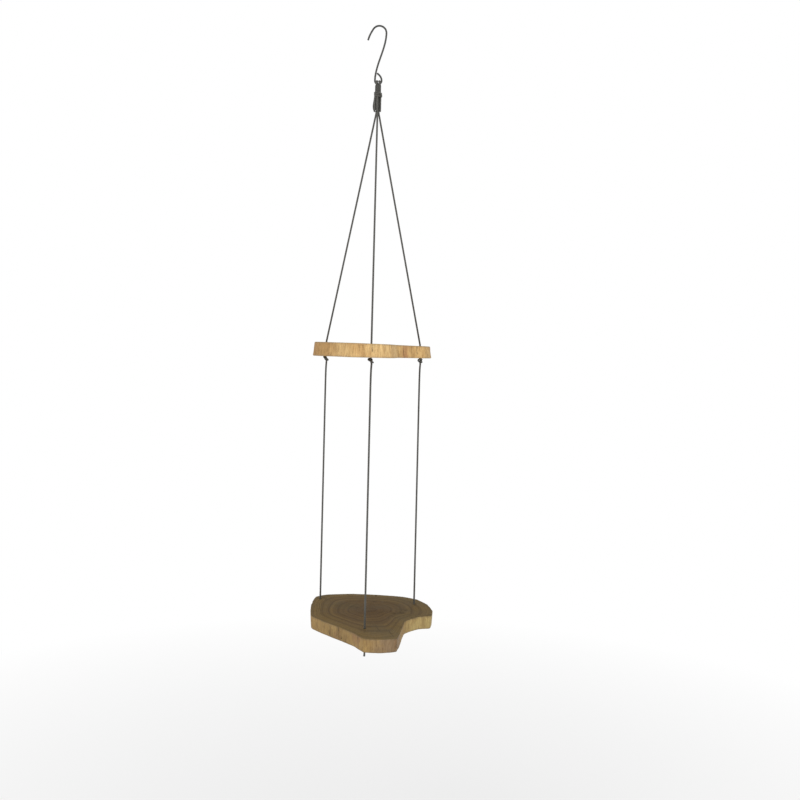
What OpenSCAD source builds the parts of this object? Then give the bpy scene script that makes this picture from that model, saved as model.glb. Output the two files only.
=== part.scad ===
// Hanging plant shelf: two live-edge trunk slices on three knotted cords under a wire hook.
// The origin is where the inside of the hook's crook bears on what carries it. +Z is up,
// +X is to the right and -Y is the front. All sizes are in millimetres.

/* [Hook] */
// Diameter of the hook's wire
wire_d = 2.8; // [2.2:0.2:3.4]
// Inside radius of the crook
crook_r = 9.6; // [8:0.4:14]
// How far the hook's tip lies to the left of the crook's middle
tip_reach = 17.2; // [14:0.4:24]
// How far the hook's tip lies below the inside of the crown
tip_drop = 21; // [18:1:30]
// Inside radius of the eye at its round bottom
eye_r = 3.8; // [3.8:0.2:6]
// Depth of the middle of the eye's round bottom below the inside of the crown
eye_drop = 84; // [70:1:110]
// Height of the eye from the middle of its round bottom up to its closed top
eye_rise = 11; // [10:0.5:16]

/* [Cords] */
// Diameter of the three cords
cord_d = 2.9; // [2.4:0.1:3.1]
// Diameter of the cord where it is pulled tight in a knot
knot_cord_d = 2.6; // [2:0.1:2.8]
// Diameter of the four strands inside the neck, squeezed by the whipping
strand_d = 2.2; // [2:0.1:2.4]
// Diameter of the thin twine whipped round the neck
twine_d = 1.5; // [1:0.1:1.8]
// Turns of the neck whipping
whipping_turns = 3; // [2:1:4]
// Turns of the gathering knot
gather_turns = 1.75; // [1.25:0.25:2.25]
// Turns of the knot under each board
knot_turns = 1.75; // [1.25:0.25:2.25]
// Depth below the crown at which the cords leave the bundle
spread_drop = 133; // [128:1:150]
// Length of the cord ends below the lower knots
end_length = 12; // [6:1:30]

/* [Boards] */
// Thickness of both boards
board_t = 20; // [14:1:26]
// Depth of the upper board's top face below the crown
upper_drop = 493; // [400:1:600]
// Clear height between the boards
shelf_gap = 395; // [300:5:450]
// How much further out the foot of the upper board's side lies than its head
upper_lean = 2.4; // [-3:0.2:3]
// How much further out the foot of the lower board's side lies than its head
lower_lean = -1; // [-3:0.2:3]
// How much thinner the upper board gets over 100 mm from left to right
upper_wedge = 1.8; // [0:0.2:3]
// Chamfer along the boards' worn rims
rim_chamfer = 1; // [0.6:0.2:2]
// Diameter of the drilled cord holes
hole_d = 5; // [4.6:0.1:6]
// Left hole, to the side
left_x = -76; // [-78:1:-66]
// Left hole, to the back
left_y = 60; // [49:1:62]
// Right hole, to the side
right_x = 76; // [66:1:80]
// Right hole, to the back
right_y = 44; // [37:1:51]
// Front hole, to the side
front_x = 2; // [-4:1:6]
// Front hole, to the front
front_y = -80; // [-87:1:-71]

/* [Clearances] */
// Gap between pieces that turn against each other or lie side by side
clear = 0.3; // [0.2:0.05:0.4]
// Gap between the turns of a wound cord
turn_gap = 0.5; // [0.45:0.05:0.6]

/* [Hidden] */
$fn = 48;

cord_r = cord_d / 2;
wire_r = wire_d / 2;
hole_left = [left_x, left_y];
hole_right = [right_x, right_y];
hole_front = [front_x, front_y];

// Hook: the eye's centreline radius, the wire's middle at its lowest and the axis the bights turn on
eye_rc = eye_r + wire_r;
bight_x = cord_r + clear / 2;
pivot_z = -eye_drop - sqrt(pow(eye_rc, 2) - pow(bight_x, 2));
// The bights clear the wire, which curves away across their width
curve_room = 0.25;
bight_r = wire_r + cord_r + clear + curve_room;
seat_r = sqrt(pow(bight_r, 2) + pow(bight_x, 2)) + cord_r + clear;

// Neck: four strands, gripped by the whipping
strand_offset = (strand_d + clear) / 2;
neck_core_r = strand_offset * sqrt(2) + strand_d / 2;
whipping_r = neck_core_r + clear + twine_d / 2;
whipping_pitch = twine_d + turn_gap;
whipping_top = pivot_z - sqrt(pow(seat_r + twine_d / 2 + clear, 2) - pow(whipping_r, 2));
whipping_foot = whipping_top - whipping_turns * whipping_pitch;
neck_foot = whipping_foot - twine_d / 2 - clear;

// Gathering knot, round three standing strands
strand_gap = 0.5;
bundle_r = (cord_d + strand_gap) / sqrt(3);
bundle_top = neck_foot - clear;
knot_r = knot_cord_d / 2;
knot_pitch = knot_cord_d + turn_gap;
gather_r = bundle_r + cord_r + clear + knot_r;
gather_top = bundle_top - knot_r;
gather_foot = gather_top - gather_turns * knot_pitch;
tails_top = gather_foot - knot_r - clear;

// Heights of the boards and of the knots under them
upper_top = -upper_drop;
upper_foot = upper_top - board_t;
lower_top = upper_foot - shelf_gap;
lower_foot = lower_top - board_t;
knot_ring_r = cord_r + clear + knot_r;
knot_height = knot_turns * knot_pitch + knot_cord_d;
hang_z = upper_foot - 2 * clear - knot_height - clear - cord_r;
joint_r = cord_r + clear;
foot_z = lower_top + joint_r;

// The upper board's top face falls from left to right by this share of the way. The board is made
// a little too thick there and cut flat. Drills run a little past both faces.
upper_slope = upper_wedge / 100;
face_spare = 0.1;
over_cut = 1;
function upper_face_z(x) = upper_top - upper_slope * x;

// The tails end a little above the point where the cords spread, and the filler one ends higher
tail_room = 0.5;
filler_room = 2.5;

// Outlines of the two slices, from above, through points on the live edge, from the front's left
// end round by the right
upper_edge = [[-26, -116], [4, -120], [30, -114], [37, -85], [41, -51], [62, -30], [82, -19],
    [91, 11], [88, 43], [74, 69], [48, 87], [8, 94], [-34, 91], [-70, 83], [-86, 69],
    [-91, 33], [-88, -7], [-75, -39], [-50, -73]];
lower_edge = [[2, -124], [28, -126], [50, -118], [56, -83], [62, -43], [83, -21], [101, -15],
    [105, 11], [98, 43], [82, 69], [58, 83], [20, 90], [-24, 93], [-68, 85], [-85, 71],
    [-88, 27], [-83, -25], [-72, -41], [-56, -58], [-36, -78], [-14, -101]];
edge_steps = 4;

wood = "#cfa970";
wood_shaded = "#c39c66";
cord_colour = "#4a4842";
steel = "#474746";

// A point of a smooth closed or open line through four neighbours, at share t between b and c
function through(a, b, c, d, t) =
    0.5 * (2 * b + (c - a) * t + (2 * a - 5 * b + 4 * c - d) * t * t + (3 * b - 3 * c + d - a) * t * t * t);
function closed_line(p, steps) = let (n = len(p))
    [for (i = [0:n - 1], s = [0:steps - 1])
        through(p[(i + n - 1) % n], p[i], p[(i + 1) % n], p[(i + 2) % n], s / steps)];
function open_line(p, steps) = let (n = len(p))
    concat([for (i = [0:n - 2], s = [0:steps - 1])
        through(p[max(i - 1, 0)], p[i], p[i + 1], p[min(i + 2, n - 1)], s / steps)], [p[n - 1]]);
function bezier(a, b, c, d, t) =
    pow(1 - t, 3) * a + 3 * pow(1 - t, 2) * t * b + 3 * (1 - t) * t * t * c + pow(t, 3) * d;

// Rings square to a line of points, without twist from one to the next
function unit(v) = v / norm(v);
function way(p, i) = unit(p[min(i + 1, len(p) - 1)] - p[max(i - 1, 0)]);
function square_to(v, w) = unit(v - (v * w) * w);
function sides_of(p, first) =
    [for (i = 0, s = square_to(first, way(p, 0)); i < len(p);
        i = i + 1, s = square_to(s, way(p, min(i, len(p) - 1)))) s];
function rings(p, r, sides, first) = let (s = sides_of(p, first))
    [for (i = [0:len(p) - 1], k = [0:sides - 1])
        p[i] + r * (cos(360 * k / sides) * s[i] + sin(360 * k / sides) * cross(way(p, i), s[i]))];

module tube(p, d, sides, first = [0, 1, 0.01]) {
    n = len(p);
    corners = rings(p, d / 2, sides, first);
    walls = [for (i = [0:n - 2], k = [0:sides - 1]) let (a = i * sides + k, b = i * sides + (k + 1) % sides)
        each [[a, a + sides, b], [b, a + sides, b + sides]]];
    start = [for (k = [1:sides - 2]) [0, k, k + 1]];
    finish = [for (k = [1:sides - 2]) [(n - 1) * sides, (n - 1) * sides + k + 1, (n - 1) * sides + k]];
    polyhedron(corners, concat(walls, start, finish));
}

// A wound cord: turns at a steady pitch, with ends that run straight on for one diameter
function helix(r, top, pitch, turns, from) =
    [for (i = [0:24 * turns]) let (a = from + 15 * i) [r * cos(a), r * sin(a), top - pitch * i / 24]];
function straight_ends(p, d) = let (n = len(p))
    concat([p[0] - d * unit(p[1] - p[0])], p, [p[n - 1] + d * unit(p[n - 1] - p[n - 2])]);
function least_gap(p, d) =
    min([for (i = [0:len(p) - 1], j = [i + 12:len(p) - 1]) if (j < len(p)) norm(p[i] - p[j])]) - d;

module winding(name, at, r, top, d, pitch, turns, from) {
    p = straight_ends(helix(r, top, pitch, turns, from), d);
    echo(str("least gap in mm of the ", name, " to itself: ", least_gap(p, d)));
    translate([at.x, at.y, 0]) tube(p, d, 6, [0, 0, 1]);
}

module hook() {
    rc = crook_r + wire_r;
    middle = [0, 0, -crook_r];
    tip = [-tip_reach, 0, -tip_drop];
    crook = [for (a = [144:-12:0]) middle + rc * [cos(a), 0, sin(a)]];
    lead = [for (t = [0, 0.25, 0.5, 0.75]) (1 - t) * tip + t * crook[0] + [-0.9 * sin(180 * t), 0, 0]];
    shank_foot = [-eye_rc, 0, -eye_drop];
    handle = (eye_drop - crook_r) / 3 * [0, 0, 1];
    shank = [for (t = [0.05:0.05:0.96])
        bezier(middle + [rc, 0, 0], middle + [rc, 0, 0] - handle, shank_foot + handle, shank_foot, t)];
    bottom = [for (a = [180:15:360]) [eye_rc * cos(a), 0, -eye_drop + eye_rc * sin(a)]];
    // the wire's cut end closes the eye just short of the shank
    end_z = -eye_drop + eye_rise;
    beside = lookup(-end_z, [for (q = shank) [-q.z, q.x]]);
    end = [beside + wire_d + clear, 0, end_z];
    closing = [for (t = [0.15:0.17:1])
        bezier([eye_rc, 0, -eye_drop], [eye_rc, 0, -eye_drop + eye_rise / 2],
            end + [0.45, 0, -0.32] * eye_rise / 2, end, t)];
    color(steel) tube(concat(lead, crook, shank, bottom, closing), wire_d, 10, [0, 1, 0]);
}

module cord_bights() {
    color(cord_colour)
        for (x = [-bight_x, bight_x])
            translate([x, 0, pivot_z]) rotate([0, 90, 0])
                rotate_extrude() translate([bight_r, 0]) circle(cord_r);
}

module neck_strands() {
    color(cord_colour)
        for (x = [-strand_offset, strand_offset], y = [-strand_offset, strand_offset])
            difference() {
                translate([x, y, neck_foot]) cylinder(h = pivot_z - bight_r - neck_foot, d = strand_d);
                translate([0, 0, pivot_z]) sphere(seat_r);
            }
}

module neck_whipping() {
    color(cord_colour)
        winding("neck whipping", [0, 0], whipping_r, whipping_top, twine_d, whipping_pitch,
            whipping_turns, -60);
}

module gathering_knot() {
    color(cord_colour)
        winding("gathering knot", [0, 0], gather_r, gather_top, knot_cord_d, knot_pitch, gather_turns, 0);
}

// Four cut tails below the gathering knot, each against a strand or another tail. The left one
// bows out and tucks in again, and a shorter one fills the bundle in front of it.
function beside_strand(angle, toward) =
    bundle_r * [cos(angle), sin(angle), 0] + (cord_d + clear) * [cos(toward), sin(toward), 0];
module binding_tails() {
    foot = -spread_drop + tail_room;
    left = beside_strand(150, 210);
    bow = [for (q = [[0, 0], [-1.1, 0.35], [-1.9, 0.62], [-1, 0.85], [0, 1]])
        left + [q[0], 0, tails_top + q[1] * (foot - tails_top)]];
    color(cord_colour) {
        tube(open_line(bow, 3), cord_d, 8);
        for (tail = [beside_strand(30, -30), beside_strand(270, 255)])
            translate([tail.x, tail.y, foot]) cylinder(h = tails_top - foot, d = cord_d);
        filler = left + (cord_d + clear) * [cos(-82), sin(-82), 0];
        filler_foot = -spread_drop + filler_room;
        translate([filler.x, filler.y, filler_foot]) cylinder(h = tails_top - filler_foot, d = cord_d);
    }
}

// A cord from the neck, down in the bundle, out to its hole and down through the board and knot
module upper_cord(angle, hole) {
    top = [bundle_r * cos(angle), bundle_r * sin(angle), bundle_top];
    leave = [top.x, top.y, -spread_drop];
    mouth = [hole.x, hole.y, upper_face_z(hole.x) + 1];
    foot = [hole.x, hole.y, hang_z + cord_r + clear];
    slant = unit(mouth - leave);
    down = [0, 0, -1];
    color(cord_colour) tube([top, leave - 2 * down, leave - down, leave + slant, leave + 2 * slant,
        mouth - 3 * slant, mouth - slant, mouth + down, mouth + 3 * down, foot], cord_d, 12);
}
module cord_left_upper() upper_cord(150, hole_left);
module cord_right_upper() upper_cord(30, hole_right);
module cord_front_upper() upper_cord(270, hole_front);

module stopper(name, hole, under, from) {
    color(cord_colour)
        winding(name, hole, knot_ring_r, under - clear - knot_r, knot_cord_d, knot_pitch, knot_turns, from);
}
module knot_left_upper() stopper("left upper knot", hole_left, upper_foot, 200);
module knot_right_upper() stopper("right upper knot", hole_right, upper_foot, 330);
module knot_front_upper() stopper("front upper knot", hole_front, upper_foot, 250);
module knot_left_lower() stopper("left lower knot", hole_left, lower_foot, 240);
module knot_right_lower() stopper("right lower knot", hole_right, lower_foot, 300);
module knot_front_lower() stopper("front lower knot", hole_front, lower_foot, 210);

// The supple bit of cord on which a lower cord swings
module bend(hole, z) {
    color(cord_colour) translate([hole.x, hole.y, z]) sphere(d = cord_d);
}
module bend_left_top() bend(hole_left, hang_z);
module bend_right_top() bend(hole_right, hang_z);
module bend_front_top() bend(hole_front, hang_z);
module bend_left_foot() bend(hole_left, foot_z);

// A taut cord between the boards, with a hollow at its head for the bend that it swings on. The
// left one has a hollow at its foot too, and the others a round foot that turns over the hole.
module lower_cord(hole, hollow_foot) {
    low = hollow_foot ? foot_z + joint_r / 2 : foot_z;
    color(cord_colour) translate([hole.x, hole.y, 0]) difference() {
        union() {
            translate([0, 0, low]) cylinder(h = hang_z - joint_r / 2 - low, d = cord_d);
            if (!hollow_foot) translate([0, 0, foot_z]) sphere(d = cord_d);
        }
        translate([0, 0, hang_z]) sphere(joint_r);
        if (hollow_foot) translate([0, 0, foot_z]) sphere(joint_r);
    }
}
module cord_left_lower() lower_cord(hole_left, true);
module cord_right_lower() lower_cord(hole_right, false);
module cord_front_lower() lower_cord(hole_front, false);

// The cord through the lower board and its knot, with the cut end below
module cord_end(hole) {
    foot = lower_foot - clear - knot_height - end_length;
    color(cord_colour) translate([hole.x, hole.y, foot]) cylinder(h = foot_z - joint_r - foot, d = cord_d);
}
module cord_left_end() cord_end(hole_left);
module cord_right_end() cord_end(hole_right);
module cord_front_end() cord_end(hole_front);

// A slice with leaning live-edge sides and worn rims. The lean is even all round, and the top face
// falls along X by the slope. The spare stands above that face, to be cut to it.
module slice(edge, top, lean, slope, spare) {
    line = closed_line(edge, edge_steps);
    n = len(line);
    out = [for (i = [0:n - 1]) let (v = line[(i + 1) % n] - line[(i + n - 1) % n]) unit([v.y, -v.x])];
    levels = [[-board_t, lean - rim_chamfer], [-board_t + rim_chamfer, lean],
        [-board_t * 0.5, lean * 0.4], [-rim_chamfer, 0], [spare, -rim_chamfer - spare]];
    corners = [for (l = levels, i = [0:n - 1]) let (q = line[i] + l[1] * out[i])
        [q.x, q.y, top + l[0] - slope * q.x * (1 + l[0] / board_t)]];
    walls = [for (k = [0:len(levels) - 2], i = [0:n - 1]) let (a = k * n + i, b = k * n + (i + 1) % n)
        each [[a, a + n, b], [b, a + n, b + n]]];
    under = [for (i = [0:n - 1]) [i, (i + 1) % n, len(corners)]];
    rim = (len(levels) - 1) * n;
    over = [for (i = [0:n - 1]) [rim + (i + 1) % n, rim + i, len(corners) + 1]];
    polyhedron(concat(corners, [[0, 0, top - board_t], [0, 0, top + spare]]), concat(walls, under, over));
}

module board(edge, top, lean, slope = 0) {
    reach = 2 * max([for (q = edge) norm(q)]);
    difference() {
        slice(edge, top, lean, slope, slope == 0 ? 0 : face_spare);
        if (slope != 0)
            translate([0, 0, top]) rotate([0, atan(slope), 0])
                translate([-reach, -reach, 0]) cube([2 * reach, 2 * reach, board_t]);
        for (h = [hole_left, hole_right, hole_front])
            translate([h.x, h.y, top - board_t - over_cut])
                cylinder(h = board_t + slope * abs(h.x) + 2 * over_cut, d = hole_d);
    }
}
module upper_board() color(wood) board(upper_edge, upper_top, upper_lean, upper_slope);
module lower_board() color(wood_shaded) board(lower_edge, lower_top, lower_lean);

hook();
cord_bights();
neck_strands();
neck_whipping();
gathering_knot();
binding_tails();
cord_left_upper();
cord_right_upper();
cord_front_upper();
knot_left_upper();
knot_right_upper();
knot_front_upper();
upper_board();
bend_left_top();
bend_right_top();
bend_front_top();
cord_left_lower();
cord_right_lower();
cord_front_lower();
bend_left_foot();
cord_left_end();
cord_right_end();
cord_front_end();
knot_left_lower();
knot_right_lower();
knot_front_lower();
lower_board();
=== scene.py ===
import math
from collections import namedtuple

import bmesh
import bpy
import numpy as np
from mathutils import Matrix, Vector, noise


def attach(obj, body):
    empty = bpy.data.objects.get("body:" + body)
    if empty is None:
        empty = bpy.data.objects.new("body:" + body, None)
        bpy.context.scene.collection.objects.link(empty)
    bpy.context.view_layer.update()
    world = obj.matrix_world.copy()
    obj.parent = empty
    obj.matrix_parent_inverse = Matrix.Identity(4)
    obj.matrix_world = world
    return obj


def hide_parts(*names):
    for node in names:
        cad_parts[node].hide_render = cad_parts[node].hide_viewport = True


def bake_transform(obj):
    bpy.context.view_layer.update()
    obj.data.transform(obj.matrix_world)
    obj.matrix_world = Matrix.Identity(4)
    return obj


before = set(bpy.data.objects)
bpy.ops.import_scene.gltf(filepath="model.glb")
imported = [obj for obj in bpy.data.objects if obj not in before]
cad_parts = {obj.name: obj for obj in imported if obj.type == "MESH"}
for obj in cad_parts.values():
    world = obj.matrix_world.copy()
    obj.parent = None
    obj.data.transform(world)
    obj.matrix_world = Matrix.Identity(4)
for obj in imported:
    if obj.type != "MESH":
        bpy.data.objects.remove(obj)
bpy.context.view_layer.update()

# Lengths are in millimetres and become metres in the meshes. Heights lie along Z, from the place
# where the inside of the hook's crown rests.
MM = 0.001

# The hook: its wire, the crook's inner radius, the tip's X and Z, and the eye's centreline radius,
# its middle's depth and the rise of its cut end
WIRE_D = 2.8
CROOK_R = 9.6
TIP = (-17.2, -21.0)
EYE_RC = 5.2
EYE_DROP = 84.0
EYE_RISE = 11.0

# Widths of the cord when slack, knotted, bound in the neck and folded over the eye, and of the twine
CORD_D = 2.9
KNOT_D = 2.6
NECK_D = 2.2
FOLD_D = 3.5
TWINE_D = 1.8
# The length in which the cord's strands turn once round
LAY = 9.5
# Points round the section of a cord or of the wire
AROUND = 24

# The neck: the folds' radius and the height where they roll, the bound strands' distance from the
# middle, and the bundle of three cords below, from its top to where the cords spread
BIGHT_R = 3.4
STRAND_OFFSET = 1.25
BUNDLE_R = 1.963
BUNDLE_TOP = -101.56
SPREAD_Z = -133.0
# The share of a turn in which a tight winding steps to its next level
STEP_SHARE = 0.24

# The boards' holes, the angle of each cord in the bundle, and the heights that the cords pass
HOLES = {"left": (-76.0, 60.0), "right": (76.0, 44.0), "front": (2.0, -80.0)}
IN_BUNDLE = {"left": 150, "right": 30, "front": 270}
HOLE_D = 5.0
UPPER_TOP, UPPER_FOOT = -493.0, -513.0
UPPER_KNOT_Z = -517.55
HANG_Z = -523.375
FOOT_Z = -906.25
LOWER_TOP, LOWER_FOOT = -908.0, -928.0
LOWER_KNOT_Z = -932.6
END_Z = -948.3
# How far to the right of its hole's axis a cord leaves its upper knot
LEAVE = 0.8

# How each knot is turned, whether it is mirrored, and how far an upper one leans along X
UPPER_KNOTS = {"left": (200, False, -0.5), "right": (65, True, -0.4), "front": (165, False, -1.3)}
LOWER_KNOTS = {"left": (20, True), "right": (130, False), "front": (250, True)}
# The names of the bodies for each cord's bend and for its stretch between the boards
BODIES = {"left": ("left_bend", "left_cord"), "right": ("right_bend", "right_cord"),
          "front": ("front_bend", "front_cord")}

# The boards' thickness, how much the upper one thins along X, and how far the faces swell and sink
BOARD_T = 20.0
UPPER_WEDGE = 0.018
FACE_SWELL = 0.14
# Points of the outline from one of the edge's points to the next
EDGE_STEPS = 20
# The rounded rims: depths below a face, and how far the side lies inside the outline there
ROUNDING = [(0, 1.35), (0.12, 0.85), (0.42, 0.38), (0.9, 0.08), (1.6, 0)]

# The boards' edges, seen from above
UPPER_EDGE = [(-26, -116), (4, -120), (30, -114), (37, -85), (41, -51), (62, -30), (82, -19),
              (91, 11), (88, 43), (74, 69), (48, 87), (8, 94), (-34, 91), (-70, 83), (-86, 69),
              (-91, 33), (-88, -7), (-75, -39), (-50, -73)]
LOWER_EDGE = [(2, -124), (28, -126), (50, -118), (56, -83), (62, -43), (83, -21), (101, -15),
              (105, 11), (98, 43), (82, 69), (58, 83), (20, 90), (-24, 93), (-68, 85), (-85, 71),
              (-88, 27), (-83, -25), (-72, -41), (-56, -58), (-36, -78), (-14, -101)]

# A board's edge and top, how far its side leans out below, how straight its edge runs from point to
# point, its pith's place, how much it thins along X, and the seed of its fibres
Slice = namedtuple("Slice", "edge top lean facets pith wedge seed")
UPPER = Slice(UPPER_EDGE, UPPER_TOP, lean=2.4, facets=0.25, pith=(2.0, 12.0), wedge=UPPER_WEDGE, seed=3.0)
LOWER = Slice(LOWER_EDGE, LOWER_TOP, lean=-1.0, facets=0.55, pith=(6.0, 8.0), wedge=0.0, seed=11.0)

# One overhand knot pulled tight, in widths of its cord: it enters from above and leaves below
OVERHAND = [(0, 0, 1.95), (0.06, 0, 1.3), (0.12, -0.2, 0.65), (0.3, -0.62, 0.12), (0.05, -1.05, -0.36),
            (-0.47, -1.08, -0.8), (-0.97, -0.68, -1.04), (-1.2, -0.04, -0.96), (-1.03, 0.55, -0.65),
            (-0.53, 0.82, -0.27), (0.09, 0.72, 0.03), (0.7, 0.55, 0.33), (1.08, 0.1, 0.7),
            (1.03, -0.52, 1.0), (0.57, -1.04, 1.06), (-0.06, -1.19, 0.86), (-0.57, -0.94, 0.46),
            (-0.67, -0.46, -0.02), (-0.31, -0.13, -0.52), (-0.12, 0, -1.15), (0, 0, -1.85)]


# Camera, at the photograph's height and angle

def set_camera():
    data = bpy.data.cameras.new("camera")
    data.lens = 37.8
    data.sensor_width = 36.0
    data.shift_y = -0.0625
    data.clip_end = 60.0
    camera = bpy.data.objects.new("camera", data)
    bpy.context.scene.collection.objects.link(camera)
    camera.location = (0.0438, -1.3045, -0.5011)
    camera.rotation_euler = (math.radians(90), math.radians(-1.375), 0)
    bpy.context.scene.camera = camera


set_camera()


# Lines through given points

def smooth(points, step):
    """A smooth line through points, cut into even steps of about the given length."""
    p = np.array(points, float)
    p = np.vstack([2 * p[0] - p[1], p, 2 * p[-1] - p[-2]])
    line = []
    for a, b, c, d in zip(p, p[1:], p[2:], p[3:]):
        ka = np.linalg.norm(b - a) ** 0.5
        kb = ka + np.linalg.norm(c - b) ** 0.5
        kc = kb + np.linalg.norm(d - c) ** 0.5
        t = np.linspace(ka, kb, max(4, int(np.linalg.norm(c - b) / 0.2)), endpoint=False)[:, None]
        ab = ((ka - t) * a + t * b) / ka
        bc = ((kb - t) * b + (t - ka) * c) / (kb - ka)
        cd = ((kc - t) * c + (t - kb) * d) / (kc - kb)
        abc = ((kb - t) * ab + t * bc) / kb
        bcd = ((kc - t) * bc + (t - ka) * cd) / (kc - ka)
        line.append(((kb - t) * abc + (t - ka) * bcd) / (kb - ka))
    line = np.vstack(line + [p[-2:-1]])
    run = run_along(line)
    marks = np.linspace(0, run[-1], max(3, int(round(run[-1] / step)) + 1))
    return np.stack([np.interp(marks, run, line[:, k]) for k in range(3)], 1)


def run_along(line):
    """The length along the line up to each of its points."""
    return np.concatenate([[0], np.cumsum(np.linalg.norm(np.diff(line, axis=0), axis=1))])


def bezier(a, b, c, d, t):
    a, b, c, d = (np.array(v, float) for v in (a, b, c, d))
    return tuple((1 - t) ** 3 * a + 3 * (1 - t) ** 2 * t * b + 3 * (1 - t) * t * t * c + t ** 3 * d)


def unit(v):
    return v / np.linalg.norm(v)


def frames_along(line, first):
    """The way of the line and a side square to it at each point, without twist from one to the next."""
    way = np.gradient(line, axis=0)
    way /= np.linalg.norm(way, axis=1)[:, None]
    sides = [unit(first - (first @ way[0]) * way[0])]
    for w in way[1:]:
        s = sides[-1] - (sides[-1] @ w) * w
        sides.append(unit(s))
    return way, np.array(sides)


def new_piece(name, verts, faces):
    mesh = bpy.data.meshes.new(name)
    mesh.from_pydata([tuple(v) for v in verts], [], faces)
    piece = bpy.data.objects.new(name, mesh)
    bpy.context.scene.collection.objects.link(piece)
    mesh.validate()
    mesh.polygons.foreach_set("use_smooth", [True] * len(mesh.polygons))
    return piece


def note(mesh, name, kind, values):
    """Writes a value or a vector at each point, for the materials to read."""
    layer = mesh.attributes.new(name, "FLOAT_VECTOR" if kind == "vector" else "FLOAT", "POINT")
    layer.data.foreach_set(kind, np.asarray(values, np.float32).ravel())


def sweep(name, line, widths, around, relief, turn, first, blunt):
    """A closed round piece along a line, with its ends rounded off by smaller rings.

    relief(angle) shapes its section, turn(length) says how far that has turned along the line, and
    first is the way that the section's angle starts from.
    """
    way, side = frames_along(line, np.array(first, float))
    other = np.cross(way, side)
    radius = widths / 2
    run = run_along(line)
    ends = [(math.sin(a), math.cos(a)) for a in np.radians([72, 48, 24])]
    rings = []
    for push, shrink in ends:
        middle = line[0] - way[0] * radius[0] * push * blunt
        rings.append((middle, side[0], other[0], radius[0] * shrink, 0.0))
    for k in range(len(line)):
        rings.append((line[k], side[k], other[k], radius[k], run[k]))
    for push, shrink in ends[::-1]:
        middle = line[-1] + way[-1] * radius[-1] * push * blunt
        rings.append((middle, side[-1], other[-1], radius[-1] * shrink, run[-1]))
    angle = np.arange(around) * 2 * math.pi / around
    verts, depth = [], []
    for middle, s, o, r, length in rings:
        high = relief(angle - turn(length))
        across, over = r * high * np.cos(angle), r * high * np.sin(angle)
        verts.append(middle + across[:, None] * s + over[:, None] * o)
        depth.append(1 - high)
    n = len(rings)
    head = line[0] - way[0] * radius[0] * blunt
    foot = line[-1] + way[-1] * radius[-1] * blunt
    faces = []
    for k in range(n - 1):
        for j in range(around):
            a, b = k * around + j, k * around + (j + 1) % around
            faces.append((a, b, b + around, a + around))
    last = (n - 1) * around
    for j in range(around):
        faces.append((n * around, (j + 1) % around, j))
        faces.append((n * around + 1, last + j, last + (j + 1) % around))
    piece = new_piece(name, np.vstack(verts + [head, foot]) * MM, faces)
    # how deep each point lies in the grooves between strands, where the cord's material paints shade
    note(piece.data, "groove_shade", "value", np.concatenate(depth + [[0, 0]]))
    map_lay(piece.data, np.array([ring[4] for ring in rings]), turn, around)
    return piece, side[-1], run[-1]


def map_lay(mesh, lengths, turn, around):
    """Maps a swept piece: round its section with the strands' turn, and along it in centimetres."""
    n = len(lengths)
    spin = np.array([turn(length) for length in lengths]) / (2 * math.pi)
    lay = mesh.uv_layers.new(name="lay")
    for polygon in mesh.polygons:
        corners = [mesh.loops[i].vertex_index for i in polygon.loop_indices]
        known = [c for c in corners if c < n * around]
        far = {c % around for c in known}
        for i, c in zip(polygon.loop_indices, corners):
            if c >= n * around:
                ring, j = (0 if c == n * around else n - 1), known[0] % around
            else:
                ring, j = divmod(c, around)
                if j == 0 and around - 1 in far:
                    j = around
            lay.data[i].uv = (j / around - spin[ring], lengths[ring] / 10)


# Cords

def three_strands(angle):
    return 1 - 0.07 * np.abs(np.sin(1.5 * angle)) ** 4


def laid_cord(name, points, width=CORD_D, step=0.8, first=(1, 0, 0), phase=0.0, blunt=0.9, lay=LAY):
    """A three-strand cord along points. width is one number, or (height, width) marks along Z."""
    line = points if isinstance(points, np.ndarray) else smooth(points, step)
    if isinstance(width, (int, float)):
        widths = np.full(len(line), float(width))
    else:
        marks = np.array(sorted(width))
        widths = np.interp(line[:, 2], marks[:, 0], marks[:, 1])
    piece, side, run = sweep(name, line, widths, AROUND, three_strands,
                             lambda s: phase + 2 * math.pi * s / lay, first, blunt)
    return piece, side, phase + 2 * math.pi * run / lay, run


def overhand(hole, middle, turned, mirrored, lean=0.0, leave=0.0):
    """The points of a tight overhand knot under a hole.

    It leans along X and lets its cord out beside the hole's axis.
    """
    a = math.radians(turned)
    flip = -1 if mirrored else 1
    wide = KNOT_D * 1.1
    points = []
    for k, (x, y, z) in enumerate(OVERHAND):
        push = lean * max(0, 1 - (z / 1.3) ** 2) + leave * (0, 0.5, 0.95)[max(0, k - len(OVERHAND) + 3)]
        points.append((hole[0] + wide * (flip * x * math.cos(a) - y * math.sin(a)) + push,
                       hole[1] + wide * (flip * x * math.sin(a) + y * math.cos(a)), middle + KNOT_D * z))
    return points


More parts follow.
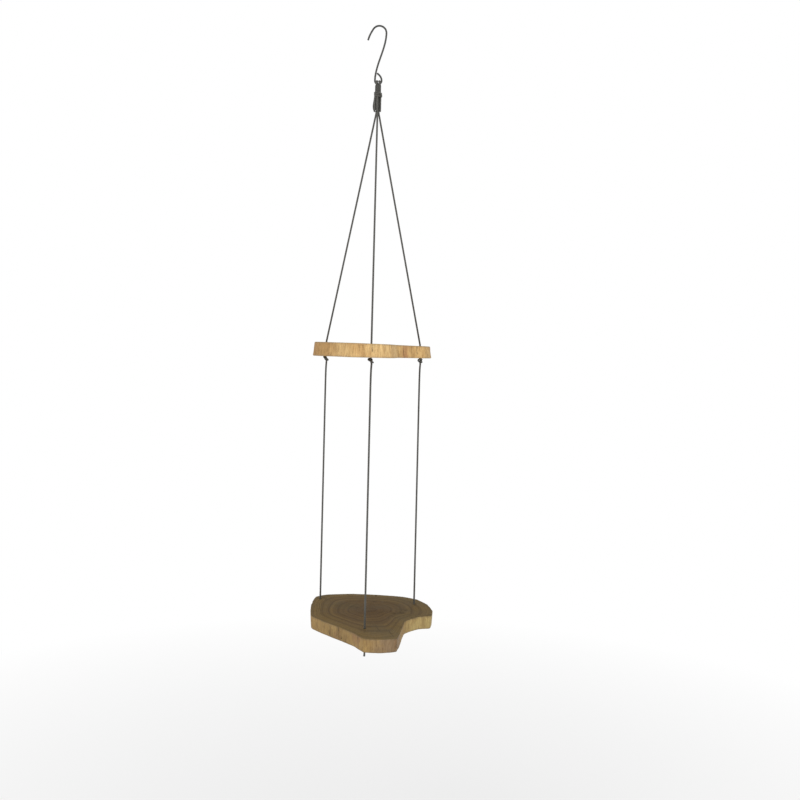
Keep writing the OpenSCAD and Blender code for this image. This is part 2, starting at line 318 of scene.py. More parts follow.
def upper_route(name, turned, mirrored, lean):
    """From the neck down in the bundle, out to the hole, and through the board and its knot."""
    a = math.radians(IN_BUNDLE[name])
    hole = HOLES[name]
    x, y = BUNDLE_R * math.cos(a), BUNDLE_R * math.sin(a)
    spread = np.array([x, y, SPREAD_Z])
    mouth = np.array([hole[0], hole[1], UPPER_TOP - UPPER_WEDGE * hole[0] + 1])
    slant = unit(mouth - spread)
    route = [(x, y, z) for z in (BUNDLE_TOP - 1, BUNDLE_TOP - 12, SPREAD_Z + 5, SPREAD_Z + 2)]
    route += [tuple(spread + k * slant) for k in (2, 5, 20, 120, 240)]
    route += [tuple(mouth - k * slant) for k in (60, 12, 4, 1.5)]
    route += [(hole[0], hole[1], z) for z in (mouth[2] - 2, UPPER_TOP - 5, UPPER_FOOT + 6)]
    route += overhand(hole, UPPER_KNOT_Z, turned, mirrored, lean, LEAVE)
    return route + [(hole[0] + LEAVE, hole[1], HANG_Z)]


cord_pieces = []
cord_lengths = {}


def hang_upper(name):
    """The cord from the neck to the bend under the upper board, pulled thinner in its knot."""
    tight = [(-530, CORD_D), (-521.6, CORD_D), (-520.5, KNOT_D), (-514.5, KNOT_D), (-512.5, CORD_D),
             (0, CORD_D)]
    route = upper_route(name, *UPPER_KNOTS[name])
    upper, side, phase, run = laid_cord(f"{name}_cord_upper", route, tight)
    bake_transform(upper)
    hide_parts(f"cord_{name}_upper", f"knot_{name}_upper", f"bend_{name}_top")
    return upper, side, phase, run


def hang_lower(name, hole, bend, swing, side, phase):
    """The taut cord between the boards. The left one is two pieces."""
    half = (HANG_Z + FOOT_Z) / 2
    ends = (HANG_Z, half, FOOT_Z) if name == "left" else (HANG_Z, FOOT_Z)
    pairs = [((bend, swing), (HANG_Z, HANG_Z - 6))]
    if name == "left":
        pairs.append(((swing, "foot_bend"), (FOOT_Z + 6, FOOT_Z)))
    parts, length = [], 0
    for k, (bodies, (start, end)) in enumerate(pairs):
        top, low = ends[k], ends[k + 1]
        line = np.linspace((hole[0], hole[1], top), (hole[0], hole[1], low), int((top - low) / 0.8))
        # back to the hole's axis within a few widths
        line[:, 0] += LEAVE * np.exp((line[:, 2] - HANG_Z) / 9)
        part, side, phase, run = laid_cord(f"{name}_cord_lower" + ("_foot" if k else ""), line,
                                           first=side, phase=phase)
        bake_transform(part)
        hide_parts(f"cord_{name}_lower")
        parts.append(part)
        length += run
    return parts, side, phase, length


def hang_end(name, hole, side, phase):
    """The cord through the lower board and its knot, and its cut end, a little frayed."""
    route = [(hole[0], hole[1], z) for z in (FOOT_Z, FOOT_Z - 1.5, LOWER_TOP - 6, LOWER_FOOT + 6)]
    route += overhand(hole, LOWER_KNOT_Z, *LOWER_KNOTS[name])
    route += [(hole[0], hole[1], -939.5), (hole[0] + 0.5, hole[1] - 0.4, -943),
              (hole[0] + 0.3, hole[1], END_Z)]
    frayed = CORD_D + 0.15
    tight = [(-960, frayed), (-947.5, frayed), (-946, CORD_D), (-936.7, CORD_D), (-935.6, KNOT_D),
             (-929.6, KNOT_D), (-927.5, CORD_D), (0, CORD_D)]
    end, _, _, run = laid_cord(f"{name}_cord_end", route, tight, first=side, phase=phase, blunt=0.35)
    if name == "left":
        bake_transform(end)
        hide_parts("bend_left_foot")
    else:
        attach(end, "lower_shelf")
    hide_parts(f"cord_{name}_end", f"knot_{name}_lower")
    return end, run


def hang_cords():
    for name, hole in HOLES.items():
        bend, swing = BODIES[name]
        upper, side, phase, upper_run = hang_upper(name)
        parts, side, phase, lower_run = hang_lower(name, hole, bend, swing, side, phase)
        end, end_run = hang_end(name, hole, side, phase)
        cord_lengths[name] = upper_run + lower_run + end_run
        cord_pieces.extend(parts + [upper, end])


hang_cords()


# Neck

def fold_over_eye(name, side):
    """One cord's middle, folded over the eye's wire, with both legs going down into the neck."""
    reach = side * STRAND_OFFSET
    leg = [(reach, -STRAND_OFFSET, BUNDLE_TOP + 1), (reach, -STRAND_OFFSET, -98.5),
           (reach, -STRAND_OFFSET, -95.5), (side * 1.4, -1.5, -93.6), (side * 1.8, -2.1, -92.1),
           (side * 2.3, -3.0, -90.5)]
    over = [(side * (2.55 - 0.72 * math.sin(a)), -BIGHT_R * math.cos(a), -88.8 + 4.0 * math.sin(a))
            for a in np.radians(range(0, 181, 20))]
    back = [(x, -y, z) for x, y, z in leg[::-1]]
    widths = [(-120, NECK_D), (-93.5, NECK_D), (-91.8, 2.8), (-90.2, FOLD_D), (0, FOLD_D)]
    piece, *_ = laid_cord(name, leg + over + back, widths, step=0.5, blunt=0.3, phase=1.12 * side)
    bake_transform(piece)
    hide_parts("cord_bights", "neck_strands")
    cord_pieces.append(piece)


def at(radius, angle, z):
    return radius * math.cos(math.radians(angle)), radius * math.sin(math.radians(angle)), z


def wound(radius, start, stop, height, pitch, step_at):
    """Points of a tight winding round the neck between two angles: level turns that step at one angle."""
    points = []
    for angle in np.linspace(start, stop, int(abs(stop - start) / 12)):
        turn = (angle - step_at) / 360
        steps = round(turn) + min(max((turn - round(turn)) / STEP_SHARE, -0.5), 0.5)
        points.append(at(radius, angle, height + pitch * steps))
    first = points[0][2] - height
    return [(x, y, z - first) for x, y, z in points]


def beside(strand, toward):
    """The middle of a tail that lies against one strand of the bundle."""
    x, y, _ = at(BUNDLE_R, strand, 0)
    away_x, away_y, _ = at(CORD_D + 0.3, toward, 0)
    return x + away_x, y + away_y


def along(place, bows):
    """The points of a tail that bows away from its place."""
    return [(place[0] + x, place[1] + y, z) for x, y, z in bows]


def whip_neck():
    """Six turns of twine, with both ends tucked under them."""
    turns = wound(3.92, 135, 48 + 6 * 360, -91.95, -1.76, 90)
    route = [at(2.9, 110, -92.1)] + turns + [at(2.9, 75, -100.6)]
    twine, *_ = laid_cord("neck_whipping_twine", route, TWINE_D, step=0.4, first=(0, 0, 1), lay=5.0,
                          blunt=0.6)
    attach(twine, "neck")
    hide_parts("neck_whipping")
    cord_pieces.append(twine)


def gather_cords(left, right):
    """The gathering knot: up beside the left cord, three turns, then down across them on the right."""
    tail = along(left, ((0.2, 0, -132.3), (-1.3, 0, -128.5), (-1.9, 0, -124), (-1.4, 0, -119),
                        (-0.7, 0, -114.5), (-0.3, -0.1, -111.6)))
    turns = wound(5.01, 216, 280 + 2 * 360, -108.65, 2.75, 335)
    cross = [at(6.0, 293, -103.35), at(7.0, 305, -104.5), at(7.4, 315, -106.6), at(6.2, 331, -109.0),
             at(4.35, 344, -110.7)]
    tuck = along(right, ((-0.2, 0, -113), (-0.3, 0, -118), (-0.25, 0, -126), (-0.35, 0, -132)))
    route = tail + [at(4.9, 201, -109.4)] + turns + cross + tuck
    knot, *_ = laid_cord("gathering_knot_cord", route, KNOT_D + 0.1, step=0.6, blunt=0.35)
    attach(knot, "hanger")
    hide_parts("gathering_knot", "binding_tails")
    cord_pieces.append(knot)


def tuck_tail(name, place, bows):
    """A cut tail whose head is squeezed thin under the gathering knot."""
    widths = [(-140, CORD_D), (-111, CORD_D), (-108.5, 1.6), (0, 1.4)]
    tail, *_ = laid_cord(name, along(place, bows), widths, blunt=0.35, phase=len(name))
    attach(tail, "hanger")
    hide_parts("binding_tails")
    cord_pieces.append(tail)


def bind_neck():
    fold_over_eye("left_right_cord_fold", -1)
    fold_over_eye("front_cord_fold", 1)
    whip_neck()
    left, right, front = beside(150, 210), beside(30, -30), beside(270, 255)
    gather_cords(left, right)
    tuck_tail("filler_tail", (left[0] + 0.45, left[1] - 3.17),
              ((0.8, 0.8, -107.6), (0.25, 0.2, -110.4), (-0.1, 0, -114), (-0.35, 0, -119),
               (-0.3, 0, -124), (0, 0, -128), (0.3, 0, -130.5)))
    tuck_tail("front_tail", front,
              ((0.2, 1.0, -107.6), (0, 0.2, -110.4), (0, 0, -118), (0.1, 0, -126), (0.2, 0, -132)))


bind_neck()


# Hook

def on_circle(radius, drop, angle):
    """A point of an upright circle whose middle lies at a depth below the crown."""
    return radius * math.cos(math.radians(angle)), 0, -drop + radius * math.sin(math.radians(angle))


def bend_hook():
    """One wire from the tip over the crook, down the shank, round the eye and up to the shank again."""
    rc = CROOK_R + WIRE_D / 2
    crook = [on_circle(rc, CROOK_R, a) for a in range(144, -1, -12)]
    lead = []
    for t in (0, 0.25, 0.5, 0.75):
        x = (1 - t) * TIP[0] + t * crook[0][0] - 0.9 * math.sin(math.pi * t)
        lead.append((x, 0, (1 - t) * TIP[1] + t * crook[0][2]))
    head, foot = (rc, 0, -CROOK_R), (-EYE_RC, 0, -EYE_DROP)
    handle = (EYE_DROP - CROOK_R) / 3
    shank = [bezier(head, (rc, 0, -CROOK_R - handle), (foot[0], 0, foot[2] + handle), foot, t)
             for t in np.arange(0.05, 0.96, 0.05)]
    bottom = [on_circle(EYE_RC, EYE_DROP, a) for a in range(180, 361, 15)]
    end_z = -EYE_DROP + EYE_RISE
    shank_x = np.interp(end_z, [q[2] for q in shank[::-1]], [q[0] for q in shank[::-1]])
    end = (shank_x + WIRE_D + 0.3, 0, end_z)
    closing = [bezier((EYE_RC, 0, -EYE_DROP), (EYE_RC, 0, -EYE_DROP + EYE_RISE / 2),
                      (end[0] + 0.225 * EYE_RISE, 0, end[2] - 0.16 * EYE_RISE), end, t)
               for t in np.arange(0.15, 1.01, 0.17)]
    # the cut end bears against the shank
    run_on = (end[0] - 0.65, 0, end[2] + 0.46)
    line = smooth(lead + crook + shank + bottom + closing + [run_on], 0.6)
    wear = np.array([noise.noise(Vector(q) * 0.35) for q in line])
    wire, *_ = sweep("wire_hook", line, WIRE_D * (1 + 0.006 * wear), AROUND, lambda a: np.ones_like(a),
                     lambda s: 0.0, (0, 1, 0), 0.35)
    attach(wire, "hook_wire")
    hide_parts("hook")
    return wire


hook = bend_hook()


# Boards

def live_edge(edge, facets):
    """The slice's outline: a smooth closed line through the edge's points, drawn towards its facets."""
    n = len(edge)
    p = np.array(edge, float)
    line = []
    for i in range(n):
        a, b, c, d = p[i - 1], p[i], p[(i + 1) % n], p[(i + 2) % n]
        for s in range(EDGE_STEPS):
            t = s / EDGE_STEPS
            curve = 0.5 * (2 * b + (c - a) * t + (2 * a - 5 * b + 4 * c - d) * t * t
                           + (3 * b - 3 * c + d - a) * t ** 3)
            line.append((1 - facets) * curve + facets * ((1 - t) * b + t * c))
    return np.array(line)


def fluting(x, y, z, seed):
    """How far the debarked side lies inside the outline here, from its long fibres."""
    broad = noise.noise(Vector((x * 0.045, y * 0.045, z * 0.02 + seed)))
    fine = noise.noise(Vector((x * 0.19, y * 0.19, z * 0.03 + seed)))
    thin = noise.noise(Vector((x * 0.45, y * 0.45, z * 0.06 - seed)))
    return 0.4 + 0.52 * broad + 0.38 * fine + 0.22 * thin


def pick(piece):
    """Makes this piece the selected and active one."""
    bpy.ops.object.select_all(action="DESELECT")
    piece.select_set(True)
    bpy.context.view_layer.objects.active = piece


def cut_slice(name, plan):
    """A board without its holes: a ring of points drawn down the side and inwards over both faces."""
    outline = live_edge(plan.edge, plan.facets)
    tangent = np.roll(outline, -3, axis=0) - np.roll(outline, 3, axis=0)
    outward = np.stack([tangent[:, 1], -tangent[:, 0]], 1)
    outward /= np.linalg.norm(outward, axis=1)[:, None]

    bpy.ops.object.select_all(action="DESELECT")
    bpy.ops.mesh.primitive_circle_add(vertices=len(outline), radius=0.1, fill_type="NOTHING",
                                      location=(0, 0, 0))
    board = bpy.context.active_object
    board.name = board.data.name = name
    bpy.ops.object.mode_set(mode="EDIT")
    bm = bmesh.from_edit_mesh(board.data)
    mark = bm.verts.layers.int.new("mark")
    for k, v in enumerate(bm.verts):
        v[mark] = k

    def side_ring(depth, inset):
        """Puts the selected ring on the board's side at a depth below its top face."""
        share = depth / BOARD_T
        for v in bm.verts:
            if v.select:
                k = v[mark]
                x, y = outline[k]
                out = plan.lean * share * (0.6 + 0.4 * share) - inset - fluting(x, y, depth, plan.seed)
                x, y = x + out * outward[k][0], y + out * outward[k][1]
                v.co = (x * MM, y * MM, (plan.top - depth - plan.wedge * x * (1 - share)) * MM)

    def face_ring(rim, share, z):
        """Puts the selected ring on a face, at a share of the way from the pith to the rim."""
        ease = min(1, 8 * (1 - share))
        for v in bm.verts:
            if v.select:
                r = rim[v[mark]]
                x, y = (p + share * (q - p) for p, q in zip(plan.pith, r))
                swell = noise.noise(Vector((x * 0.03, y * 0.03, plan.seed + z))) * FACE_SWELL * ease
                fall = plan.wedge * x if z == plan.top else 0.0
                v.co = (x * MM, y * MM, (z + swell - FACE_SWELL * ease - fall) * MM)

    levels = ROUNDING + [(depth, 0) for depth in (3.2, 5.6, 8, 10.4, 12.8, 15.2, 17)]
    levels += [(BOARD_T - depth, inset) for depth, inset in ROUNDING[::-1]]
    bpy.ops.mesh.select_all(action="SELECT")
    side_ring(*levels[0])
    top_rim = {v[mark]: (v.co.x / MM, v.co.y / MM) for v in bm.verts}
    for level in levels[1:]:
        bpy.ops.mesh.extrude_edges_move()
        side_ring(*level)
    foot_rim = {v[mark]: (v.co.x / MM, v.co.y / MM) for v in bm.verts if v.select}

    shares = [0.985, 0.96, 0.93] + [0.9 - 0.05 * k for k in range(18)] + [0.02]
    for rim, z in ((foot_rim, plan.top - BOARD_T), (top_rim, plan.top)):
        if z == plan.top:
            bpy.ops.mesh.select_all(action="DESELECT")
            for v in bm.verts:
                v.select_set(abs(v.co.z - z * MM + plan.wedge * v.co.x) < 1e-6)
            bmesh.update_edit_mesh(board.data)
            for e in bm.edges:
                e.select_set(all(v.select for v in e.verts))
        for share in shares:
            bpy.ops.mesh.extrude_edges_move()
            face_ring(rim, share, z)
            if z < plan.top:
                for v in bm.verts:
                    if v.select:
                        v.co.z = (2 * z * MM) - v.co.z
        bpy.ops.mesh.merge(type="CENTER")
    bmesh.update_edit_mesh(board.data)
    bpy.ops.mesh.select_all(action="SELECT")
    bpy.ops.mesh.normals_make_consistent(inside=False)
    bpy.ops.object.mode_set(mode="OBJECT")
    return board


def drill_holes(board, plan):
    """Three holes with a slight countersink at each face, cut by drill-shaped bodies."""
    for hole in HOLES.values():
        depth = BOARD_T - plan.wedge * hole[0]
        middle = plan.top - BOARD_T + depth / 2
        bpy.ops.object.select_all(action="DESELECT")
        bpy.ops.mesh.primitive_cylinder_add(vertices=40, radius=HOLE_D / 2 * MM, depth=(depth - 1.2) * MM,
                                            location=(hole[0] * MM, hole[1] * MM, middle * MM))
        drill = bpy.context.active_object
        bpy.ops.object.mode_set(mode="EDIT")
        bm = bmesh.from_edit_mesh(drill.data)
        for way in (1, -1):
            bpy.ops.mesh.select_all(action="DESELECT")
            for f in bm.faces:
                f.select_set(f.normal.z * way > 0.9)
            # the last step lies outside the board
            for rise, grow in ((0.45, 1.04), (0.35, 1.12), (1.0, 1.1)):
                shift = {"value": (0, 0, way * rise * MM)}
                bpy.ops.mesh.extrude_region_move(TRANSFORM_OT_translate=shift)
                bpy.ops.transform.resize(value=(grow, grow, 1),
                                         center_override=(hole[0] * MM, hole[1] * MM, 0))
        bmesh.update_edit_mesh(drill.data)
        bpy.ops.object.mode_set(mode="OBJECT")
        cut = board.modifiers.new("drilled", "BOOLEAN")
        cut.operation = "DIFFERENCE"
        cut.solver = "EXACT"
        cut.object = drill
        pick(board)
        bpy.ops.object.modifier_apply(modifier=cut.name)
        bpy.data.objects.remove(drill)


def note_grain(board, plan):
    """Writes what the materials read at each point: its place among the rings, the rim and the side."""
    edge_line = live_edge(plan.edge, plan.facets)
    outline = edge_line - np.array(plan.pith)
    turn = np.arctan2(outline[:, 1], outline[:, 0])
    reach = np.hypot(outline[:, 0], outline[:, 1])
    order = np.argsort(turn)
    mesh = board.data
    co = np.array([v.co for v in mesh.vertices]) / MM
    x, y = co[:, 0] - plan.pith[0], co[:, 1] - plan.pith[1]
    a, r = np.arctan2(y, x), np.hypot(x, y)
    limit = np.interp(a, turn[order], reach[order], period=2 * math.pi)

    # the rings are round at the pith and follow the outline at the rim
    share = np.clip(r / limit, 0, 1)
    ring = r * (1 - share) + reach.mean() * share ** 2
    note(mesh, "heart", "vector", np.stack([ring * np.cos(a), ring * np.sin(a), co[:, 2]], 1) * MM)

    # little on the faces and nothing on the side, rising to one at the rims between them
    depth = plan.top - co[:, 2]
    depth = depth - plan.wedge * co[:, 0] * (1 - depth / BOARD_T)
    from_side = limit + plan.lean * np.clip(depth / BOARD_T, 0, 1) - r
    side = np.clip((from_side - 1.3) / 3.2, 0, 1)
    face = np.clip(np.minimum(depth, BOARD_T - depth) / 3.0, 0, 1)
    note(mesh, "rim", "value", 1 - np.clip(face + side * 0.9, 0, 1))

    # the side's points stand straight above each other, so that its fibres run upright
    column = np.zeros(len(co), np.int32)
    mesh.attributes["mark"].data.foreach_get("value", column)
    upright = np.column_stack([edge_line[np.clip(column, 0, len(edge_line) - 1)], co[:, 2]])
    from_holes = [np.hypot(co[:, 0] - h[0], co[:, 1] - h[1]) for h in HOLES.values()]
    near_hole = np.min(from_holes, axis=0) < HOLE_D
    note(mesh, "fibre", "vector", np.where(near_hole[:, None], co, upright) * MM)
    mesh.attributes.remove(mesh.attributes["mark"])


def make_board(name, plan, body, node):
    board = cut_slice(name, plan)
    drill_holes(board, plan)
    note_grain(board, plan)
    pick(board)
    bpy.ops.object.shade_smooth_by_angle(angle=math.radians(32))
    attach(board, body)
    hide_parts(node)
    return board


upper_slice = make_board("upper_slice", UPPER, "hanger", "upper_board")
lower_slice = make_board("lower_slice", LOWER, "lower_shelf", "lower_board")


# Materials

def paint(code):
    """A colour from its hex code."""
    parts = [int(code[k:k + 2], 16) / 255 for k in (1, 3, 5)]
    return tuple(c / 12.92 if c <= 0.04045 else ((c + 0.055) / 1.055) ** 2.4 for c in parts) + (1.0,)


def feed(tree, socket, value):
    """Links an output to the socket, or sets the value given."""
    if isinstance(value, bpy.types.NodeSocket):
        tree.links.new(value, socket)
    else:
        socket.default_value = value


def put(tree, kind, values=None, **settings):
    """Adds a node, with its settings and the values or links of its inputs."""
    node = tree.nodes.new(kind)
    for key, value in settings.items():
        setattr(node, key, value)
    for key, value in (values or {}).items():
        feed(tree, node.inputs[key], value)
    return node


def ramp(tree, fac, stops):
    node = put(tree, "ShaderNodeValToRGB", {"Fac": fac})
    elements = node.color_ramp.elements
    while len(elements) < len(stops):
        elements.new(0.5)
    for element, (place, colour) in zip(elements, stops):
        element.position = place
        element.color = paint(colour)
    return node.outputs["Color"]


def blend_colour(tree, share, a, b, kind="MIX"):
    node = put(tree, "ShaderNodeMix", data_type="RGBA", blend_type=kind)
    for socket, value in ((node.inputs[0], share), (node.inputs[6], a), (node.inputs[7], b)):
        feed(tree, socket, paint(value) if isinstance(value, str) else value)
    return node.outputs[2]


def math_of(tree, operation, a, b=0.0, clamp=False):
    return put(tree, "ShaderNodeMath", {0: a, 1: b}, operation=operation, use_clamp=clamp).outputs[0]


def times(tree, a, b, clamp=False):
    return math_of(tree, "MULTIPLY", a, b, clamp)


def plus(tree, a, b):
    return math_of(tree, "ADD", a, b)


def minus(tree, a, b):
    return math_of(tree, "SUBTRACT", a, b)


def vector_math(tree, operation, a, b=None, output="Value"):
    values = {0: a} if b is None else {0: a, 1: b}
    return put(tree, "ShaderNodeVectorMath", values, operation=operation).outputs[output]


def scaled(tree, vector, by):
    return vector_math(tree, "MULTIPLY", vector, by, "Vector")


def stretch(tree, value, low, high, to_low=0.0, to_high=1.0):
    return put(tree, "ShaderNodeMapRange", {"Value": value, "From Min": low, "From Max": high,
                                            "To Min": to_low, "To Max": to_high}).outputs[0]


def cloud(tree, vector, scale, detail=3.0, rough=0.5, distort=0.0):
    return put(tree, "ShaderNodeTexNoise", {"Vector": vector, "Scale": scale, "Detail": detail,
                                            "Roughness": rough, "Distortion": distort}).outputs["Fac"]


def toned(tree, colour, tone):
    """Makes a colour lighter or darker."""
    grey = put(tree, "ShaderNodeCombineColor", {0: tone, 1: tone, 2: tone}).outputs[0]
    return blend_colour(tree, 1.0, colour, grey, "MULTIPLY")


def here(tree):
    """The place of a point in the object's own frame."""
    return tree.nodes.new("ShaderNodeTexCoord").outputs["Object"]


def noted(tree, name, output="Fac"):
    """What was written at each point under this name."""
    return put(tree, "ShaderNodeAttribute", attribute_name=name).outputs[output]


def on_x(tree, value):
    """A vector with this value along X."""
    return put(tree, "ShaderNodeCombineXYZ", {"X": value}).outputs[0]


def near(tree, value, middle):
    """How far a value lies from the middle."""
    return math_of(tree, "ABSOLUTE", minus(tree, value, middle))


VECTOR, VALUE = "NodeSocketVector", "NodeSocketFloat"


def effect(name, inputs, outputs):
    """An empty shared effect with named inputs, and named values that it puts out."""
    group = bpy.data.node_groups.new(name, "ShaderNodeTree")
    for label, kind, value in inputs:
        socket = group.interface.new_socket(label, in_out="INPUT", socket_type=kind)
        if value is not None:
            socket.default_value = value
    for label in outputs:
        group.interface.new_socket(label, in_out="OUTPUT", socket_type=VALUE)
    return group, group.nodes.new("NodeGroupInput").outputs, group.nodes.new("NodeGroupOutput").inputs


def long_fibres():
    """Streaks that run up the side of a slice: fine ones, broad ones and hairline cracks."""
    group, given, out = effect("long_fibres", [("Place", VECTOR, None), ("Crack share", VALUE, 0.5)],
                               ["Fine", "Middle", "Broad", "Crack"])
    place = given["Place"]
    fine = cloud(group, scaled(group, place, (1100, 1100, 75)), 1.0, 5, 0.68, 0.7)
    middle = cloud(group, scaled(group, place, (430, 430, 80)), 1.0, 4, 0.62, 0.5)
    broad = cloud(group, scaled(group, place, (170, 170, 18)), 1.0, 3, 0.55, 0.3)
    thread = cloud(group, scaled(group, place, (300, 300, 9)), 1.0, 2, 0.5, 0.25)
    where = cloud(group, scaled(group, place, (85, 85, 70)), 1.0, 3, 0.55)
    some = stretch(group, plus(group, where, times(group, given["Crack share"], 0.3)), 0.6, 0.7)
    thin = minus(group, times(group, some, 0.011), near(group, thread, 0.5))
    crack = stretch(group, thin, 0.0, 0.004)
    for label, value in (("Fine", fine), ("Middle", middle), ("Broad", broad), ("Crack", crack)):
        group.links.new(value, out[label])
    return group


def growth_rings():
    group, given, out = effect("growth_rings", [("Heart", VECTOR, None), ("Spacing", VALUE, 0.0024)],
                               ["Ring", "Band", "Ray", "Check", "From pith"])
    flat = scaled(group, given["Heart"], (1, 1, 0))
    reach = vector_math(group, "LENGTH", flat)
    wobble = cloud(group, flat, 28, 3, 0.55)
    swing = times(group, minus(group, wobble, 0.5), 0.009)
    turns = math_of(group, "DIVIDE", plus(group, reach, swing), given["Spacing"])
    late = math_of(group, "POWER", math_of(group, "FRACT", turns), 3.0)
    year = cloud(group, on_x(group, math_of(group, "FLOOR", turns)), 3.7, 0, 0.5)
    ring = times(group, late, stretch(group, year, 0.3, 0.7, 0.35, 1.0), True)
    band = cloud(group, on_x(group, times(group, turns, 0.37)), 1.0, 3, 0.6)
    direction = vector_math(group, "NORMALIZE", flat, output="Vector")
    spoke = vector_math(group, "ADD", direction, scaled(group, flat, (2.2, 2.2, 0)), "Vector")
    ray = cloud(group, spoke, 34, 3, 0.6)
    thread = cloud(group, spoke, 4.2, 2, 0.45)
    thin = stretch(group, near(group, thread, 0.5), 0.0, 0.006, 1.0, 0.0)
    some = stretch(group, cloud(group, flat, 30, 1, 0.5), 0.5, 0.6)
    check = times(group, thin, some, True)
    for label, value in (("Ring", ring), ("Band", band), ("Ray", ray), ("Check", check),
                         ("From pith", reach)):
        group.links.new(value, out[label])
    return group


def worn_rim():
    """Where handling has greyed and smoothed the rims."""
    group, given, out = effect("worn_rim", [("Rim", VALUE, 0.0), ("Place", VECTOR, None)], ["Wear"])
    patchy = stretch(group, cloud(group, given["Place"], 130, 4, 0.6), 0.35, 0.62, 0.35, 1.0)
    group.links.new(times(group, given["Rim"], patchy, True), out["Wear"])
    return group


def pin_marks():
    """Small dark marks: pin knots and pores."""
    group, given, out = effect("pin_marks", [("Place", VECTOR, None), ("Scale", VALUE, 90.0),
                                             ("Share", VALUE, 0.1)], ["Mark"])
    spots = put(group, "ShaderNodeTexVoronoi", {"Vector": given["Place"], "Scale": given["Scale"],
                                                "Randomness": 1.0})
    dot = stretch(group, spots.outputs["Distance"], 0.05, 0.13, 1.0, 0.0)
    chance = put(group, "ShaderNodeSeparateColor", {0: spots.outputs["Color"]}).outputs[0]
    few = stretch(group, plus(group, chance, given["Share"]), 1.0, 1.02)
    group.links.new(times(group, dot, few, True), out["Mark"])
    return group


def use(tree, group, values):
    return put(tree, "ShaderNodeGroup", values, node_tree=group).outputs


def new_material(name):
    material = bpy.data.materials.new(name)
    material.use_nodes = True
    tree = material.node_tree
    tree.nodes.clear()
    shader = tree.nodes.new("ShaderNodeBsdfPrincipled")
    surface = tree.nodes.new("ShaderNodeOutputMaterial")
    tree.links.new(shader.outputs["BSDF"], surface.inputs["Surface"])
    return material, tree, shader


def raise_surface(tree, shader, height, distance):
    bump = put(tree, "ShaderNodeBump", {"Height": height, "Distance": distance, "Strength": 1.0})
    tree.links.new(bump.outputs["Normal"], shader.inputs["Normal"])


FIBRES, RINGS, RIM, PINS = long_fibres(), growth_rings(), worn_rim(), pin_marks()


def stained(tree, colour, place, stains):
    """Lays broad soft-edged stains, each with its middle, its radius, its strength and its colour."""
    ragged = stretch(tree, cloud(tree, place, 55, 3, 0.6), 0.3, 0.7, -0.3, 0.3)
    for middle, radius, strength, tint in stains:
        away = vector_math(tree, "DISTANCE", place, middle)
        share = plus(tree, math_of(tree, "DIVIDE", away, radius), ragged)
        colour = blend_colour(tree, stretch(tree, share, 0.5, 1.1, strength, 0.0), colour, tint)
    return colour


def greyed(tree, colour, place, rim_grey):
    """Greys the rims where they are worn."""
    wear = use(tree, RIM, {"Rim": noted(tree, "rim"), "Place": place})["Wear"]
    return blend_colour(tree, times(tree, wear, 0.75), colour, rim_grey)


def side_wood(name, deep, pale, streak, blush, crack, rim_grey, blush_at, stains):
    """The debarked side of a slice: upright fibres, hairline cracks, stains and greyed rims."""
    material, tree, shader = new_material(name)
    place = here(tree)
    upright = noted(tree, "fibre", "Vector")
    fibres = use(tree, FIBRES, {"Place": upright, "Crack share": 0.3})
    colour = ramp(tree, cloud(tree, place, 17, 3, 0.55), [(0.38, deep), (0.6, pale)])
    colour = stained(tree, colour, place, stains)
    colour = blend_colour(tree, stretch(tree, fibres["Broad"], 0.5, 0.7, 0.0, 0.5), colour, streak)
    colour = blend_colour(tree, stretch(tree, fibres["Middle"], 0.52, 0.68, 0.0, 0.6), colour, streak)
    patch = cloud(tree, scaled(tree, place, (1, 1, 0.6)), 21, 3, 0.6)
    patch = stretch(tree, patch, blush_at, blush_at + 0.1, 0.0, 0.6)
    colour = blend_colour(tree, patch, colour, blush)
    colour = toned(tree, colour, stretch(tree, fibres["Fine"], 0.28, 0.7, 1.15, 0.7))
    colour = greyed(tree, colour, place, rim_grey)
    colour = blend_colour(tree, times(tree, fibres["Crack"], 0.75), colour, crack)
    dots = scaled(tree, upright, (1, 1, 0.6))
    pins = use(tree, PINS, {"Place": dots, "Scale": 110.0, "Share": 0.16})["Mark"]
    colour = blend_colour(tree, times(tree, pins, 0.75), colour, crack)
    tree.links.new(colour, shader.inputs["Base Color"])
    shader.inputs["Specular IOR Level"].default_value = 0.3
    tree.links.new(stretch(tree, fibres["Fine"], 0.2, 0.8, 0.58, 0.74), shader.inputs["Roughness"])
    height = plus(tree, times(tree, fibres["Fine"], -0.8), times(tree, fibres["Middle"], -0.9))
    height = minus(tree, height, times(tree, fibres["Crack"], 1.2))
    raise_surface(tree, shader, height, 0.0007)
    return material


